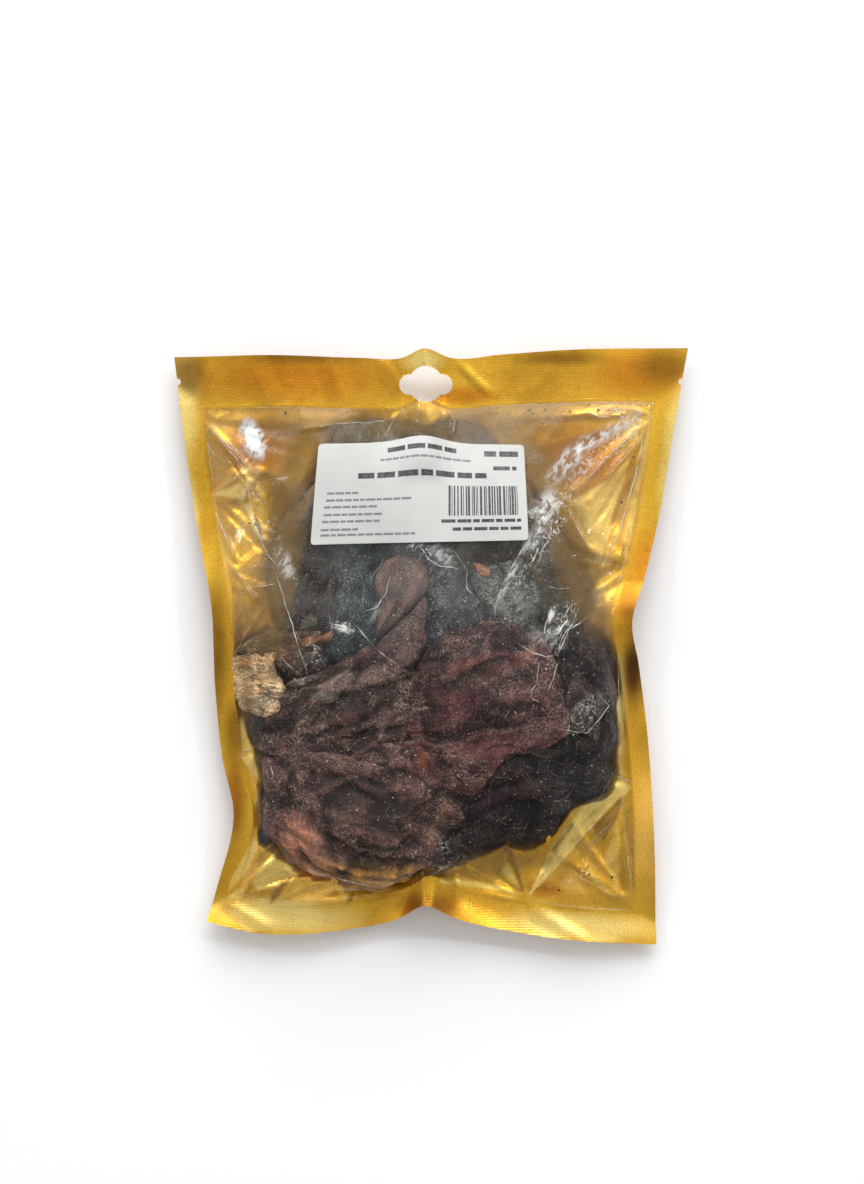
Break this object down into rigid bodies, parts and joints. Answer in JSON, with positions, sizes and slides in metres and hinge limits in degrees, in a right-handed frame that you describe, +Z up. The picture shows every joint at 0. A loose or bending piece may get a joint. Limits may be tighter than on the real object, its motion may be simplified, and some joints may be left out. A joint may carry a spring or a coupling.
{
  "type": "pouch of dried catfish",
  "caption": "Flat sealed food pouch with a gold foil back, a clear front over dried smoked fish, a paper label and a hang hole.",
  "frame": {"origin": "centre of the pouch's bounding box in plan, on the surface that it lies on", "axes": "+Z up out of the clear front, +Y towards the hang hole, +X to the right when the front is read"},
  "size_m": [0.2504, 0.2909, 0.043],
  "materials": {
    "gold_foil": "satin gold foil laminate with a fine embossed rib in the seals",
    "clear_film": "clear glossy wrinkled film",
    "dried_fish": "dry, fibrous, dark smoked flesh and skin",
    "label_paper": "smooth white label paper with grey and black printed bars"
  },
  "bodies": {
    "root": {"pouch": "gold_foil", "label": "label_paper"}
  },
  "joints": []
}
